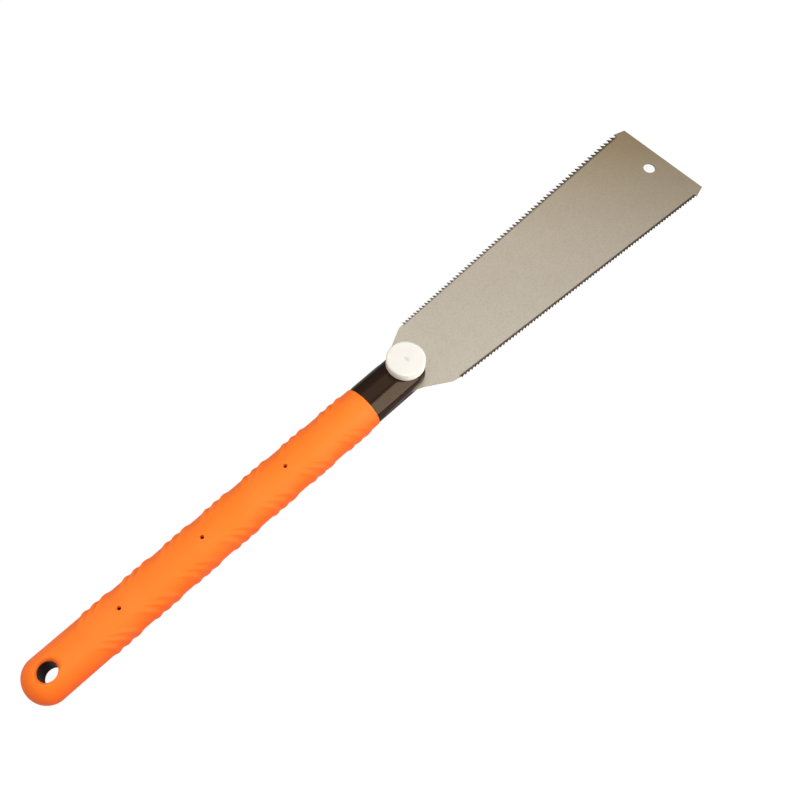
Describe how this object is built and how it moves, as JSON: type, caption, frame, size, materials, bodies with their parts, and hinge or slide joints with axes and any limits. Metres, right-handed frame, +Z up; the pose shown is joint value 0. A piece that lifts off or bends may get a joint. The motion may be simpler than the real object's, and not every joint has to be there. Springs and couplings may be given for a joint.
{
  "type": "double-edged pull saw",
  "caption": "Flat pull saw for board and timber: a thin blade toothed on both edges, clamped by a round thumb knob in the head of a long straight rubber-covered handle.",
  "frame": {"origin": "centre of the hang hole, half way through the handle's thickness", "axes": "+X along the handle to the blade's tip, +Z up through the hang hole to the knob's side, +Y to the rip-toothed edge"},
  "size_m": [0.5802, 0.0827, 0.0309],
  "materials": {
    "core_plastic": "moulded, glossy",
    "grip_rubber": "soft moulded, satin",
    "blade_steel": "ground and satin rolled",
    "clamp_steel": "zinc plated",
    "knob_plastic": "moulded, satin",
    "insert_brass": "turned"
  },
  "bodies": {
    "handle": {"handle_core": "core_plastic", "grip": "grip_rubber", "lower_jaw": "core_plastic", "jaw_screws": "clamp_steel", "upper_clamp_plate": "clamp_steel", "lower_clamp_plate": "clamp_steel", "clamp_bolt": "clamp_steel"},
    "bush": {"pivot_bush": "clamp_steel"},
    "blade": {"blade": "blade_steel"},
    "washer": {"knob_washer": "clamp_steel"},
    "knob": {"knob": "knob_plastic", "knob_insert": "insert_brass"}
  },
  "joints": [
    {"name": "blade_swing", "type": "hinge", "parent": "handle", "child": "bush", "pos_m": [0.2847, 0, 0], "axis": [0, 0, 1], "range_deg": [-45, 45]},
    {"name": "blade_release", "type": "slide", "parent": "bush", "child": "blade", "axis": [0.9999, -0.0162, 0], "range_m": [0, 0.04]},
    {"name": "knob_lift", "type": "slide", "parent": "handle", "child": "washer", "axis": [0, 0, 1], "range_m": [0, 0.002]},
    {"name": "knob_turn", "type": "hinge", "parent": "washer", "child": "knob", "pos_m": [0.2847, 0, 0.0125], "axis": [0, 0, 1], "range_deg": [0, 720]}
  ],
  "couplings": [
    {"joint": "knob_turn", "follows": "knob_lift", "rad_per_m": 6283.2}
  ]
}
